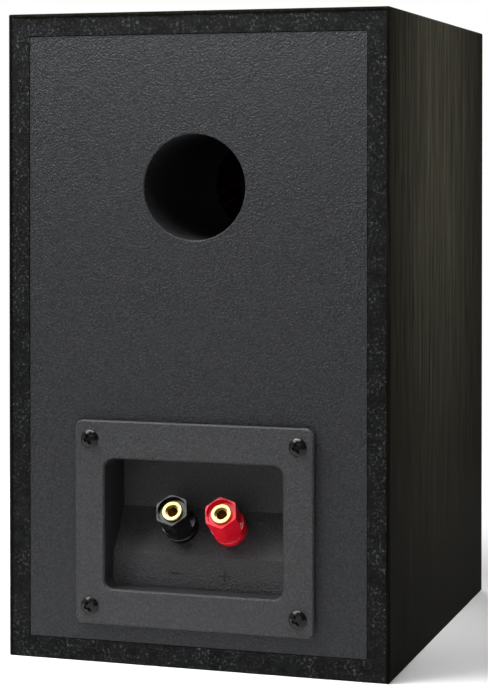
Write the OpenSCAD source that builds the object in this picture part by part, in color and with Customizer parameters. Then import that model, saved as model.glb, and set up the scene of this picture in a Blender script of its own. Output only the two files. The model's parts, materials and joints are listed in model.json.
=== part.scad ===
// Compact two-way bookshelf speaker: a mitred, vinyl-wrapped cabinet with a rear reflex port,
// a recessed terminal cup with two screw-down binding posts, a woofer, a dome tweeter and a crossover.
// Frame: millimetres, +Z up, origin at the middle of the underside. The front baffle faces -Y.

/* [Cabinet] */
// Overall width of the cabinet
cabinet_w = 147; // [145:1:160]
// Overall depth of the cabinet, front to rear
cabinet_d = 170; // [168:1:190]
// Overall height of the cabinet
cabinet_h = 241; // [240:1:260]
// Thickness of the four folded wall panels
wall_t = 8; // [7:0.5:9]
// Thickness of the vinyl wrap
wrap_t = 0.3; // [0.2:0.1:0.4]
// Rounding of the wrapped edges
edge_r = 1; // [0.8:0.1:1.5]
// Thickness of the front baffle
baffle_t = 12; // [12:1:14]
// Thickness of the rear panel
rear_t = 9; // [8:0.5:10]
// Side of the square corner battens
batten = 10; // [8:1:11]

/* [Reflex port] */
// Bore of the port tube
port_bore = 39; // [34:1:40]
// Height of the port axis above the underside
port_z = 176.5; // [170:0.5:180]
// Length of the port, from the rear face inwards
port_l = 85; // [60:5:100]

/* [Terminal cup] */
// Width of the cup's flange plate
plate_w = 91.8; // [88:0.2:94]
// Height of the cup's flange plate
plate_h = 75.6; // [74:0.2:78]
// Height of the plate's middle above the underside
plate_z = 52.4; // [51:0.1:54]
// Thickness of the flange plate
plate_t = 2; // [1.6:0.2:2.4]
// Width of the recess
recess_w = 68.8; // [66:0.2:70]
// Height of the recess
recess_h = 48.4; // [47:0.2:49]
// Depth of the recess behind the plate's face
recess_d = 21; // [20:0.5:22]
// Horizontal pitch of the cup's screws
cup_screw_x = 80.2; // [78:0.2:82]
// Vertical pitch of the cup's screws
cup_screw_z = 62; // [60:0.5:63]

/* [Binding posts] */
// Pitch of the two posts
post_pitch = 19; // [19:0.05:19.1]
// Upward tilt of the posts' axes
post_tilt = 35; // [34:0.5:36]
// Bore of a banana socket
socket_bore = 4; // [4:0.05:4.1]
// Outside radius of the posts' caps
cap_r = 6.5; // [6.3:0.1:6.7]
// Length of a cap
cap_l = 12.2; // [11.8:0.1:12.6]

/* [Drivers] */
// Height of the woofer's axis
woofer_z = 66; // [66:1:68]
// Outside radius of the woofer's frame
woofer_r = 52.8; // [52.6:0.1:53]
// Height of the tweeter's axis
tweeter_z = 172; // [170:1:174]
// Outside radius of the tweeter's faceplate
tweeter_r = 44; // [43.8:0.1:44.2]

/* [Hidden] */
$fn = 64;
hair = 0.01;

// Cabinet
core_x = cabinet_w / 2 - wrap_t;
core_y = cabinet_d / 2 - wrap_t;
core_top = cabinet_h - wrap_t;
core_r = edge_r - wrap_t;
inner_x = core_x - wall_t;
inner_low = wall_t;
inner_high = core_top - wall_t;
wrap_lip = 1.3;
panel_gap = 0.25;
rear_inset = 0.2;
rear_y = core_y - rear_inset;
fit_x = inner_x - panel_gap;
fit_low = inner_low + panel_gap;
fit_high = inner_high - panel_gap;
rear_inner_y = rear_y - rear_t;
baffle_inner_y = baffle_t - core_y;
socket_x = 57;
socket_z = [20, 221];
socket_r = 4.6;
socket_l = 10;
socket_rim_r = 6;
socket_rim_t = 0.8;
peg_r = 3;
peg_l = 8.6;
pad_gap = 0.5;
pad_t = 14.5;
pad_y = [-48, 50];
pad_z = [40, 195];
clip_x = 61;
clip_h = 6;
clip_z = [56, 104];
clip_y = [[-17, -4.6], [-18, -5.6]];
floor_clip_x = 9;
floor_clip_y = [-25, -19];
floor_clip_top = 12.6;

// Reflex port
port_wall = 1.5;
port_seat = 4;
port_flare = 0.3;
port_lead_in = 0.6;

// Terminal cup
gasket_t = 0.5;
plate_r = 2.8;
plate_bevel = 0.5;
plate_back_y = rear_y + gasket_t;
plate_front_y = plate_back_y + plate_t;
recess_r = 3.8;
cup_wall = 2.5;
mouth_chamfer = 0.6;
floor_y = plate_front_y - recess_d;
crease_y = plate_front_y - 10;
crease_z = plate_z - 12.4;
lip_y = plate_front_y - 8.6;
lip_steepness = 8;
slope_l = (crease_y - floor_y) / sin(post_tilt);
recess_low = plate_z - 0.3 - recess_h / 2;
recess_high = recess_low + recess_h;
recess_mid = recess_low + recess_h / 2;
cup_gap = 0.5;
cup_screw_drop = 0.1;
cup_pilot_r = 1.5;
cup_screw_hole_r = 1.7;
cup_head_r = 3.35;
cup_shank_r = 1.5;
cup_screw_l = 16;
cup_screw_turn = 20;
head_h = 1.7;
screw_point_l = 1.5;
mark_z = recess_low + 5.6;
mark_y = crease_y + (crease_z - mark_z) / lip_steepness;
mark_w = 4.2;
mark_line = 0.6;
mark_depth = 0.4;

// Binding posts, along their own axes from the slope of the cup
post_up = 11.2;
base_l = 2.4;
base_edge = 0.3;
neck_r = 4;
washer_low = 2.55;
washer_t = 0.65;
washer_r = 4.9;
washer_hole_r = 3.2;
washer_play = 0.35;
cap_low = 2.6;
cap_high = cap_low + cap_l;
cap_turn = 12.5;
cap_flats = 5.7;
cap_flat_draft = 2.2;
cap_flat_l = 9.2;
cap_edge = 0.15;
cap_foot_edge = 0.2;
skirt_r = 5.2;
cap_floor = washer_low + washer_t + washer_play;
well_r = 5.35;
well_edge = 0.15;
well_depth = 1.6;
ring_r = 3.9;
ring_front = cap_high - 0.5;
lip_t = 1;
lip_r = 2.4;
stud_r = 2.95;
stud_edge = 0.5;
thread_r = 3;
thread_pitch = 1;
thread_depth = 0.35;
stud_front = ring_front - lip_t - 0.2;
stud_back = -10;
socket_floor = 4.2;
wire_hole_r = 0.9;
wire_hole_w = 2.2;
tab_t = 0.8;
tab_r = 5;
tab_w = 3.2;
tab_reach = [3, 13];
tab_hole_x = 11.4;
tab_hole_r = 0.7;
nut_t = 4;
nut_r = 5.8;

// Drivers, along their own axes from the baffle's face inwards
ring_front_s = 0.2;
frame_gap = 0.3;
pilot_r = 1.6;
screw_hole_r = 1.8;
counterbore_r = 3.2;
screw_seat = 2.4;
driver_head_r = 2.9;
driver_shank_r = 1.6;
woofer_screw_l = 13;
tweeter_screw_l = 12;
tweeter_hole_r = 31;
flange_s = 3.4;
flange_t = 1.4;
woofer_rebate = 5.6;
woofer_hole_r = 46.4;
woofer_screw_r = 48.9;
roll_r = 40.9;
roll_out = 2.5;
roll_t = 0.5;
cone_r = 36.2;
cone_depth = 17;
cone_t = 0.7;
coil_r = 13;
shelf_s = 26.2;
basket_s = 38;
plate_s = 5;
magnet_s = 14;
pole_r = 12.4;
tweeter_rebate = 4;
tweeter_screw_r = 38.8;
dome_r = 12.9;
dome_h = 4.4;
dome_seat = 5.9;
motor_s = 6.4;

// Crossover
board_x = 42;
board_y = [-2, 50];
board_z = [14, 15.6];
standoff_x = 38;
standoff_y = [2, 46];
standoff_hole_r = 1.6;
coil_x = -20;
coil_y = 16;
coil_core_r = 7;
coil_wire_r = 13;
coil_flange_r = 14;
coil_flange_t = 1.5;
coil_l = 13;

// Wire routes, one list of points for each lead, chosen by hand
terminal_routes = [
    [[20.5, 67, 46.6], [25, 60, 38], [30, 54, 27], [31, 49, 20], [31, 46, 16.8]],
    [[-20.5, 67, 46.6], [-23, 60, 38], [-22, 54, 27], [-20, 49, 20], [-18, 46, 16.8]]
];
woofer_routes = [
    [[-6, 1, 16.8], [-6, -6, 19], [-5, -20, 14], [-4, -38, 15], [-3.5, -50, 23], [-3.5, -53, 28.6]],
    [[6, 1, 16.8], [6, -6, 19], [5, -20, 14], [4, -38, 15], [3.5, -50, 23], [3.5, -53, 28.6]]
];
tweeter_routes = [
    [[30, 1, 16.8], [38, -5, 20], [56, -8, 17], [62.5, -9, 30], [63.4, -9, 70], [63.4, -11, 115],
     [60, -20, 140], [44, -42, 158], [33, -58, 168], [31.6, -68, 171]],
    [[26, 1, 16.8], [36, -9, 20], [56, -12, 17], [62.5, -13, 30], [63.4, -13, 70], [63.4, -15, 115],
     [60, -24, 144], [45, -45, 164], [34, -59, 174], [31.6, -68, 175]]
];
lead_r = 1;

// ---------- shared shapes ----------

module rounded_rect(w, h, r) {
    square([w - 2 * r, h], center = true);
    square([w, h - 2 * r], center = true);
    for (sx = [-1, 1], sy = [-1, 1])
        translate([sx * (w / 2 - r), sy * (h / 2 - r)]) circle(r = r);
}

// A rounded rectangle that grows by `grow` on every side over its height t
module tapered_slab(w, h, r, t, grow) {
    for (sx = [-1, 1], sy = [-1, 1])
        translate([sx * (w / 2 - r), sy * (h / 2 - r), 0]) cylinder(h = t, r1 = r, r2 = r + grow);
    rotate([90, 0, 0]) linear_extrude(h - 2 * r, center = true)
        polygon([[-w / 2, 0], [w / 2, 0], [w / 2 + grow, t], [-w / 2 - grow, t]]);
    rotate([90, 0, 90]) linear_extrude(w - 2 * r, center = true)
        polygon([[-h / 2, 0], [h / 2, 0], [h / 2 + grow, t], [-h / 2 - grow, t]]);
}

// A block with rounded edges, centred in X and Y, between two heights
module soft_block(w, d, z_low, z_high, r) {
    h = z_high - z_low;
    intersection() {
        translate([0, 0, z_low]) linear_extrude(h) rounded_rect(w, d, r);
        translate([0, 0, z_low + h / 2]) rotate([90, 0, 0]) linear_extrude(d, center = true)
            rounded_rect(w, h, r);
        translate([0, 0, z_low + h / 2]) rotate([90, 0, 90]) linear_extrude(w, center = true)
            rounded_rect(d, h, r);
    }
}

module box_between(x, y, z) {
    translate([x[0], y[0], z[0]]) cube([x[1] - x[0], y[1] - y[0], z[1] - z[0]]);
}

// The core of the four walls, cut to one wall by its outline in the XZ plane
module wall_panel(outline) {
    intersection() {
        soft_block(2 * core_x, 2 * core_y, 0, core_top, core_r);
        rotate([90, 0, 0]) linear_extrude(cabinet_d + 2, center = true) polygon(outline);
    }
}

// A ring of four battens inside the walls, between two depths
module batten_ring(y) {
    for (s = [-1, 1])
        box_between(s > 0 ? [inner_x - batten, inner_x] : [-inner_x, batten - inner_x], y,
                    [inner_low + batten, inner_high - batten]);
    box_between([-inner_x, inner_x], y, [inner_low, inner_low + batten]);
    box_between([-inner_x, inner_x], y, [inner_high - batten, inner_high]);
}

// Moves to the rear face: the child's +Z points to the rear
module on_rear(y, z) {
    translate([0, y, z]) rotate([-90, 0, 0]) children();
}

// Moves to a driver's axis: the child's +Z points into the cabinet from the baffle's face
module on_baffle(z) {
    translate([0, -core_y, z]) rotate([-90, 0, 0]) children();
}

// Moves to a binding post: the child's +Z points out along the post
module on_post(side) {
    foot_y = crease_y - post_up * sin(post_tilt);
    foot_z = crease_z + post_up * cos(post_tilt);
    translate([side * post_pitch / 2, foot_y, foot_z]) rotate([post_tilt - 90, 0, 0]) children();
}

// A cross recess, cut downwards from the top of a screw head
module cross_recess(top, size, depth) {
    arm = size * 0.3;
    hub = size * 0.5;
    for (a = [0, 90])
        rotate(a) translate([0, 0, top - depth / 2]) cube([size, arm, depth + hair], center = true);
    translate([0, 0, top - depth / 2]) cube([hub, hub, depth + hair], center = true);
}

// A pan-head screw with its head standing on Z = 0 and its point at -length
module pan_screw(head_r, shank_r, length) {
    crown_r = (head_r * head_r + head_h * head_h) / (2 * head_h) * 1.12;
    difference() {
        intersection() {
            cylinder(h = head_h, r = head_r);
            translate([0, 0, head_h - crown_r]) sphere(r = crown_r);
        }
        cross_recess(head_h, head_r * 1.15, head_h * 0.8);
    }
    translate([0, 0, screw_point_l - length]) cylinder(h = length - screw_point_l, r = shank_r);
    translate([0, 0, -length]) cylinder(h = screw_point_l, r1 = 0.2, r2 = shank_r);
}

module ring(r_out, r_in, low, high) {
    rotate_extrude() polygon([[r_in, low], [r_out, low], [r_out, high], [r_in, high]]);
}

// ---------- swept leads ----------

function bend(a, b, c, d, t) =
    0.5 * (2 * b + (c - a) * t + (2 * a - 5 * b + 4 * c - d) * t * t + (3 * b - a - 3 * c + d) * t * t * t);

function smooth(p, n) = [
    for (i = [0 : len(p) - 2], k = [0 : n - 1])
        bend(p[max(i - 1, 0)], p[i], p[i + 1], p[min(i + 2, len(p) - 1)], k / n),
    p[len(p) - 1]
];

function unit(v) = v / norm(v);

function heading(p, i) = unit(p[min(i + 1, len(p) - 1)] - p[max(i - 1, 0)]);

// A side vector at each point, carried along the route without twist
function carried(p, i, side) =
    let (t = heading(p, i), s = unit(side - (side * t) * t))
    i == len(p) - 1 ? [s] : concat([s], carried(p, i + 1, s));

module tube_along(route, r) {
    sides = 8;
    p = smooth(route, 4);
    n = len(p);
    across = carried(p, 0, [0.37, 0.61, 0.7]);
    rings = [
        for (i = [0 : n - 1], k = [0 : sides - 1])
            let (t = heading(p, i), u = across[i], v = cross(t, u), a = 360 * k / sides)
            p[i] + r * (cos(a) * u + sin(a) * v)
    ];
    quads = [
        for (i = [0 : n - 2], k = [0 : sides - 1])
            let (m = (k + 1) % sides)
            [i * sides + k, (i + 1) * sides + k, (i + 1) * sides + m, i * sides + m]
    ];
    start_cap = [for (k = [0 : sides - 1]) k];
    end_cap = [for (k = [sides - 1 : -1 : 0]) (n - 1) * sides + k];
    polyhedron(points = rings, faces = concat(quads, [start_cap, end_cap]), convexity = 4);
}

// ---------- cabinet ----------

module left_panel() {
    color("#26221f") wall_panel([
        [core_x + 1, -1], [core_x + 1, core_top + 1], [inner_x, inner_high], [inner_x, inner_low]
    ]);
}

module right_panel() {
    color("#26221f") wall_panel([
        [-core_x - 1, -1], [-core_x - 1, core_top + 1], [-inner_x, inner_high], [-inner_x, inner_low]
    ]);
}

module top_panel() {
    color("#26221f") wall_panel([
        [core_x + 1, core_top + 1], [inner_x, inner_high],
        [-inner_x, inner_high], [-core_x - 1, core_top + 1]
    ]);
}

module bottom_panel() {
    color("#26221f") wall_panel([
        [core_x + 1, -1], [inner_x, inner_low], [-inner_x, inner_low], [-core_x - 1, -1]
    ]);
}

// One sheet over the sides, top and front edges, turned over the rear edges by a narrow lip
module vinyl_wrap() {
    color("#1f1d1b") difference() {
        soft_block(cabinet_w, cabinet_d, 0, cabinet_h, edge_r);
        soft_block(2 * core_x, 2 * core_y, -20, core_top, core_r);
        box_between([wrap_lip - cabinet_w / 2, cabinet_w / 2 - wrap_lip], [core_y - 1, core_y + 1],
                    [-1, cabinet_h - wrap_lip]);
        box_between([-inner_x, inner_x], [-core_y - 1, 1 - core_y], [inner_low, inner_high]);
    }
}

// A rebate for a driver's frame, the hole behind it and four pilot holes
module driver_opening(z, frame_r, rebate, hole_r, screw_r) {
    on_baffle(z) {
        translate([0, 0, -1]) cylinder(h = rebate + 1, r = frame_r + frame_gap, $fn = 96);
        translate([0, 0, -1]) cylinder(h = baffle_t + 2, r = hole_r, $fn = 96);
        for (a = [45 : 90 : 315])
            rotate(a) translate([screw_r, 0, rebate - 1]) cylinder(h = baffle_t, r = pilot_r);
    }
}

module front_baffle() {
    color("#1b1b1c") difference() {
        box_between([-fit_x, fit_x], [-core_y, baffle_inner_y], [fit_low, fit_high]);
        driver_opening(woofer_z, woofer_r, woofer_rebate, woofer_hole_r, woofer_screw_r);
        driver_opening(tweeter_z, tweeter_r, tweeter_rebate, tweeter_hole_r, tweeter_screw_r);
        socket_places() {
            translate([0, 0, -1]) cylinder(h = socket_l + 1, r = socket_r);
            translate([0, 0, -1]) cylinder(h = socket_rim_t + 1, r = socket_rim_r);
        }
    }
}

// The opening around the cup's recess, through a sheet of thickness t that starts at y
module cup_opening(y, t) {
    on_rear(y - 1, recess_mid)
        linear_extrude(t + 2)
        rounded_rect(recess_w + 2 * (cup_wall + cup_gap), recess_h + 2 * (cup_wall + cup_gap),
                     recess_r + cup_wall);
}

module rear_panel() {
    color("#3c3d40") difference() {
        box_between([-fit_x, fit_x], [rear_inner_y, rear_y], [fit_low, fit_high]);
        on_rear(rear_inner_y - 1, port_z) cylinder(h = rear_t + 2, d = port_bore, $fn = 96);
        on_rear(rear_inner_y - 1, port_z)
            cylinder(h = rear_t - port_seat + 1, r = port_bore / 2 + port_wall, $fn = 96);
        on_rear(rear_y - port_flare, port_z)
            cylinder(h = port_flare + hair, r1 = port_bore / 2, r2 = port_bore / 2 + port_flare, $fn = 96);
        cup_opening(rear_inner_y, rear_t);
        cup_screw_places(rear_inner_y - 1) cylinder(h = rear_t + 2, r = cup_pilot_r);
    }
}

module front_battens() {
    color("#b08a5a") batten_ring([baffle_inner_y, baffle_inner_y + batten]);
}

module rear_battens() {
    color("#b08a5a") batten_ring([rear_inner_y - batten, rear_inner_y]);
}

module port_tube() {
    color("#151515") on_rear(rear_y - port_l, port_z)
        rotate_extrude($fn = 96) polygon([
            [port_bore / 2 + port_lead_in, 0], [port_bore / 2 + port_wall, port_lead_in],
            [port_bore / 2 + port_wall, port_l - port_seat], [port_bore / 2, port_l - port_seat],
            [port_bore / 2, port_lead_in]
        ]);
}

module damping_pad() {
    color("#e4e2dc") box_between([pad_gap - inner_x, pad_gap + pad_t - inner_x], pad_y, pad_z);
}

module socket_places() {
    for (x = [-socket_x, socket_x], z = socket_z)
        translate([x, -core_y, z]) rotate([-90, 0, 0]) children();
}

module grille_sockets() {
    color("#111111") socket_places() rotate_extrude() polygon([
        [peg_r + 0.4, 0], [socket_rim_r, 0], [socket_rim_r, socket_rim_t], [socket_r, socket_rim_t],
        [socket_r, socket_l], [0, socket_l], [0, peg_l], [peg_r, peg_l], [peg_r, 0.4]
    ]);
}

module wire_clips() {
    color("#d8d8d0") {
        for (i = [0, 1])
            box_between([clip_x, inner_x], clip_y[i], [clip_z[i], clip_z[i] + clip_h]);
        box_between([-floor_clip_x, floor_clip_x], floor_clip_y, [inner_low, floor_clip_top]);
    }
}

// ---------- terminal cup ----------

module cup_screw_places(y) {
    for (x = [-1, 1], z = [-1, 1])
        on_rear(y, plate_z + z * cup_screw_z / 2 - cup_screw_drop)
            translate([x * cup_screw_x / 2, 0, 0]) children();
}

// The recess's side profile in Y and Z, moved outwards by `grow`
function recess_profile(grow) =
    let (
        ny = cos(post_tilt), nz = sin(post_tilt),
        top = recess_high + grow, low = recess_low - grow, back = floor_y - grow,
        cy = crease_y - grow * ny, cz = crease_z - grow * nz,
        run = (cy - back) / nz,
        lip_back = lip_y - grow
    )
    [
        [plate_front_y + 1, top], [back, top], [back, cz + run * ny],
        [cy, cz], [lip_back, cz - (lip_back - cy) * lip_steepness], [lip_back, low], [plate_front_y + 1, low]
    ];

module recess_body(grow) {
    intersection() {
        rotate([90, 0, 90]) linear_extrude(cabinet_w, center = true) polygon(recess_profile(grow));
        on_rear(floor_y - grow - 1, recess_mid)
            linear_extrude(recess_d + grow + 3)
            rounded_rect(recess_w + 2 * grow, recess_h + 2 * grow, recess_r + grow);
    }
}

module polarity_mark(side, plus) {
    translate([side * post_pitch / 2, mark_y, mark_z]) {
        cube([mark_w, 2 * mark_depth, mark_line], center = true);
        if (plus) cube([mark_line, 2 * mark_depth, mark_w], center = true);
    }
}

module terminal_cup() {
    color("#343537") difference() {
        union() {
            on_rear(plate_back_y, plate_z) {
                linear_extrude(plate_t - plate_bevel) rounded_rect(plate_w, plate_h, plate_r);
                translate([0, 0, plate_t - plate_bevel])
                    tapered_slab(plate_w, plate_h, plate_r, plate_bevel, -plate_bevel);
            }
            intersection() {
                recess_body(cup_wall);
                box_between([-cabinet_w, cabinet_w], [0, plate_back_y + 1], [0, cabinet_h]);
            }
        }
        recess_body(0);
        on_rear(plate_front_y - mouth_chamfer, recess_mid)
            tapered_slab(recess_w, recess_h, recess_r, mouth_chamfer + hair, mouth_chamfer + hair);
        cup_screw_places(plate_back_y - 1) cylinder(h = plate_t + 2, r = cup_screw_hole_r);
        for (side = [-1, 1]) on_post(side) cylinder(h = 4 * cup_wall, r = neck_r, center = true);
        polarity_mark(1, false);
        polarity_mark(-1, true);
    }
}

module terminal_cup_gasket() {
    color("#0f0f0f") difference() {
        on_rear(rear_y, plate_z) linear_extrude(gasket_t) rounded_rect(plate_w - 2, plate_h - 2, plate_r - 1);
        cup_opening(rear_y, gasket_t);
        cup_screw_places(rear_y - 1) cylinder(h = gasket_t + 2, r = cup_screw_hole_r);
    }
}

module terminal_cup_screws() {
    color("#101010") cup_screw_places(plate_front_y) rotate(cup_screw_turn)
         pan_screw(cup_head_r, cup_shank_r, cup_screw_l);
}

// ---------- binding posts ----------

module post_base(side) {
    on_post(side) difference() {
        union() {
            cylinder(h = base_l - base_edge, r = cap_r);
            translate([0, 0, base_l - base_edge])
                cylinder(h = base_edge, r1 = cap_r, r2 = cap_r - base_edge);
            translate([0, 0, -cup_wall]) cylinder(h = cup_wall + hair, r = neck_r);
        }
        translate([0, 0, -cup_wall - 1]) cylinder(h = cup_wall + base_l + 2, r = thread_r);
    }
}

module black_post_base() { color("#0c0c0c") post_base(1); }
module red_post_base() { color("#b01018") post_base(-1); }

// A threaded, hollow stud: plain behind, ring threads in front, with a hole across for bare wire
module post_stud(side) {
    crests = floor((stud_front - 0.6 - base_l) / thread_pitch);
    root_r = stud_r - thread_depth;
    on_post(side) difference() {
        rotate_extrude() polygon(concat(
            [[0, stud_back], [stud_r - stud_edge, stud_back], [stud_r, stud_back + stud_edge],
             [stud_r, base_l - 0.4]],
            [for (i = [0 : crests - 1], k = [0, 1])
                k == 0 ? [root_r, base_l + i * thread_pitch] : [stud_r, base_l + (i + 0.5) * thread_pitch]],
            [[root_r, stud_front - 0.3], [root_r - 0.2, stud_front], [0, stud_front]]
        ));
        translate([0, 0, socket_floor]) cylinder(h = stud_front, d = socket_bore);
        translate([0, 0, wire_hole_w + wire_hole_r]) rotate([0, 90, 0])
            cylinder(h = 3 * stud_r, r = wire_hole_r, center = true);
    }
}

module black_post_stud() { color("#d8c27a") post_stud(1); }
module red_post_stud() { color("#d8c27a") post_stud(-1); }

module clamp_washer(side) {
    on_post(side) ring(washer_r, washer_hole_r, washer_low, washer_low + washer_t);
}

module black_clamp_washer() { color("#d8c27a") clamp_washer(1); }
module red_clamp_washer() { color("#d8c27a") clamp_washer(-1); }

// A round skirt with six drafted flats that run out into it, and a well around the metal ring
module post_cap(side) {
    on_post(side) difference() {
        rotate_extrude() polygon([
            [ring_r, cap_floor], [skirt_r, cap_floor], [skirt_r, cap_low],
            [cap_r - cap_foot_edge, cap_low], [cap_r, cap_low + cap_foot_edge],
            [cap_r, cap_high - cap_edge], [cap_r - cap_edge, cap_high],
            [well_r + well_edge, cap_high], [well_r, cap_high - well_edge],
            [well_r, cap_high - well_depth], [ring_r, cap_high - well_depth]
        ]);
        for (i = [0 : 5])
            rotate(cap_turn + 60 * i) translate([cap_flats, 0, cap_high]) rotate([0, cap_flat_draft, 0])
                translate([0, -cap_r, -cap_flat_l]) cube([cap_r, 2 * cap_r, cap_l]);
    }
}

module black_cap() { color("#0c0c0c") post_cap(1); }
module red_cap() { color("#b01018") post_cap(-1); }

module cap_insert(side) {
    on_post(side) rotate_extrude() polygon([
        [thread_r, cap_floor], [ring_r, cap_floor],
        [ring_r, ring_front - 0.3], [ring_r - 0.3, ring_front],
        [lip_r + 0.2, ring_front], [lip_r, ring_front - 0.2],
        [lip_r, ring_front - lip_t], [thread_r, ring_front - lip_t]
    ]);
}

module black_cap_insert() { color("#e6d7a0") cap_insert(1); }
module red_cap_insert() { color("#e6d7a0") cap_insert(-1); }

module post_nuts() {
    color("#c8c8c8") for (side = [-1, 1]) on_post(side) difference() {
        translate([0, 0, -cup_wall - tab_t - nut_t]) cylinder(h = nut_t, r = nut_r, $fn = 6);
        translate([0, 0, 2 * stud_back]) cylinder(h = -2 * stud_back, r = thread_r);
    }
}

module post_solder_tabs() {
    color("#c9bf9a") for (side = [-1, 1]) on_post(side) difference() {
        union() {
            translate([0, 0, -cup_wall - tab_t]) cylinder(h = tab_t, r = tab_r);
            translate([side > 0 ? tab_reach[0] : -tab_reach[1], -tab_w / 2, -cup_wall - tab_t])
                cube([tab_reach[1] - tab_reach[0], tab_w, tab_t]);
        }
        translate([0, 0, 2 * stud_back]) cylinder(h = -2 * stud_back, r = thread_r);
        translate([side * tab_hole_x, 0, 2 * stud_back]) cylinder(h = -2 * stud_back, r = tab_hole_r);
    }
}

// ---------- crossover ----------

module crossover_board() {
    color("#1f6b3a") difference() {
        box_between([-board_x, board_x], board_y, board_z);
        for (x = [-standoff_x, standoff_x], y = standoff_y)
            translate([x, y, inner_low]) cylinder(h = board_z[1], r = standoff_hole_r);
    }
}

module crossover_standoffs() {
    color("#e8e8e0") for (x = [-standoff_x, standoff_x], y = standoff_y)
        translate([x, y, inner_low]) rotate_extrude() polygon([
            [0, 0], [4, 0], [4, 1], [3, 1.4], [3, board_z[0] - inner_low],
            [standoff_hole_r, board_z[0] - inner_low],
            [standoff_hole_r, board_z[1] - inner_low], [2.2, board_z[1] - inner_low + 0.1],
            [1.2, board_z[1] - inner_low + 2], [0, board_z[1] - inner_low + 2]
        ]);
}

module woofer_inductor_bobbin() {
    top = coil_l + 2 * coil_flange_t;
    color("#2a2a2a") translate([coil_x, coil_y, board_z[1]]) rotate_extrude() polygon([
        [4, 0], [coil_flange_r, 0], [coil_flange_r, coil_flange_t], [coil_core_r, coil_flange_t],
        [coil_core_r, top - coil_flange_t], [coil_flange_r, top - coil_flange_t],
        [coil_flange_r, top], [4, top]
    ]);
}

module woofer_inductor_winding() {
    turns = 9;
    pitch = coil_l / turns;
    groove_r = coil_wire_r - 0.6;
    low = board_z[1] + coil_flange_t;
    color("#b0632e") translate([coil_x, coil_y, low]) rotate_extrude() polygon(concat(
        [[coil_core_r, 0]],
        [for (i = [0 : turns - 1], k = [0, 1])
            k == 0 ? [groove_r, i * pitch] : [coil_wire_r, (i + 0.5) * pitch]],
        [[groove_r, coil_l], [coil_core_r, coil_l]]
    ));
}

module tweeter_inductor() {
    color("#b0632e") translate([16, 12, board_z[1]]) ring(9.5, 4, 0, 9);
}

module axial_part(x, y, r, length, lead) {
    translate([x, y, board_z[1] + r]) rotate([0, 90, 0]) {
        cylinder(h = length, r = r, center = true);
        cylinder(h = length + 2 * lead, r = 0.4, center = true);
    }
    for (s = [-1, 1])
        translate([x + s * (length / 2 + lead), y, board_z[1]]) cylinder(h = r + 0.4, r = 0.4);
}

module woofer_capacitor() { color("#3a57a8") axial_part(16, 32, 6.5, 27, 3); }
module tweeter_capacitor() { color("#c8a13a") axial_part(-22, 39, 5.5, 24, 3); }

module padding_resistor() {
    color("#d9d4c6") {
        box_between([5, 27], [42, 49], [board_z[1] + 1, board_z[1] + 9]);
        for (x = [7, 25]) translate([x, 45.5, board_z[1]]) cylinder(h = 1 + hair, r = 0.5);
    }
}

module terminal_wires() { color("#a01818") for (route = terminal_routes) tube_along(route, lead_r); }
module woofer_wires() { color("#202020") for (route = woofer_routes) tube_along(route, lead_r); }
module tweeter_wires() { color("#a01818") for (route = tweeter_routes) tube_along(route, lead_r); }

// ---------- woofer ----------

module woofer_basket() {
    inner = coil_r + 1.2;
    color("#1a1a1a") on_baffle(woofer_z) difference() {
        rotate_extrude($fn = 96) polygon([
            [43.5, flange_s], [woofer_r, flange_s], [woofer_r, flange_s + flange_t],
            [45.6, flange_s + flange_t], [44.4, 10], [36.6, shelf_s - 2], [36.6, shelf_s + 1.4],
            [32, shelf_s + 1.4], [30.2, basket_s], [inner, basket_s], [inner, basket_s - 1.4],
            [28.8, basket_s - 1.4], [30.6, shelf_s], [35.2, shelf_s], [35.2, shelf_s - 2.6], [43, 9.6]
        ]);
        for (a = [45 : 90 : 315])
            rotate(a) {
                translate([woofer_screw_r, 0, 0]) cylinder(h = baffle_t, r = screw_hole_r);
                translate([24, -15, 11]) cube([30, 30, 11]);
            }
        for (a = [0 : 90 : 270])
            rotate(a) translate([24, -8, shelf_s + 3.4]) cube([10, 16, 6]);
    }
}

module woofer_gasket() {
    color("#0f0f0f") on_baffle(woofer_z) difference() {
        ring(woofer_r, woofer_hole_r + 0.2, flange_s + flange_t, woofer_rebate);
        for (a = [45 : 90 : 315])
            rotate(a) translate([woofer_screw_r, 0, 0]) cylinder(h = baffle_t, r = screw_hole_r);
    }
}

module woofer_trim_ring() {
    color("#18181a") on_baffle(woofer_z) difference() {
        rotate_extrude($fn = 96) polygon([
            [44.6, 1.1], [45.5, ring_front_s], [woofer_r - 0.6, ring_front_s], [woofer_r, ring_front_s + 0.6],
            [woofer_r, flange_s], [46.8, flange_s], [46.8, flange_s - roll_t - 0.05],
            [44.6, flange_s - roll_t - 0.05]
        ]);
        for (a = [45 : 90 : 315])
            rotate(a) translate([woofer_screw_r, 0, 0]) {
                cylinder(h = baffle_t, r = screw_hole_r);
                translate([0, 0, -1]) cylinder(h = screw_seat + 1, r = counterbore_r);
            }
    }
}

// A half-roll ring: an outer lip on the frame, the roll, and an inner lip on the cone's edge
module woofer_surround() {
    steps = 8;
    s = flange_s - roll_t / 2;
    color("#141414") on_baffle(woofer_z) rotate_extrude($fn = 96) polygon(concat(
        [[36.4, s + roll_t / 2], [36.4, s - roll_t / 2]],
        [for (i = [0 : steps]) let (a = 180 - 180 * i / steps)
            [roll_r + roll_out * cos(a), s - roll_out * sin(a)]],
        [[46.5, s - roll_t / 2], [46.5, s + roll_t / 2]],
        [for (i = [0 : steps]) let (a = 180 * i / steps)
            [roll_r + (roll_out - roll_t) * cos(a), s + roll_t / 2 - (roll_out - roll_t / 2) * sin(a)]]
    ));
}

function cone_s(t) = flange_s + cone_depth * pow(t, 1.15);

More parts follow.
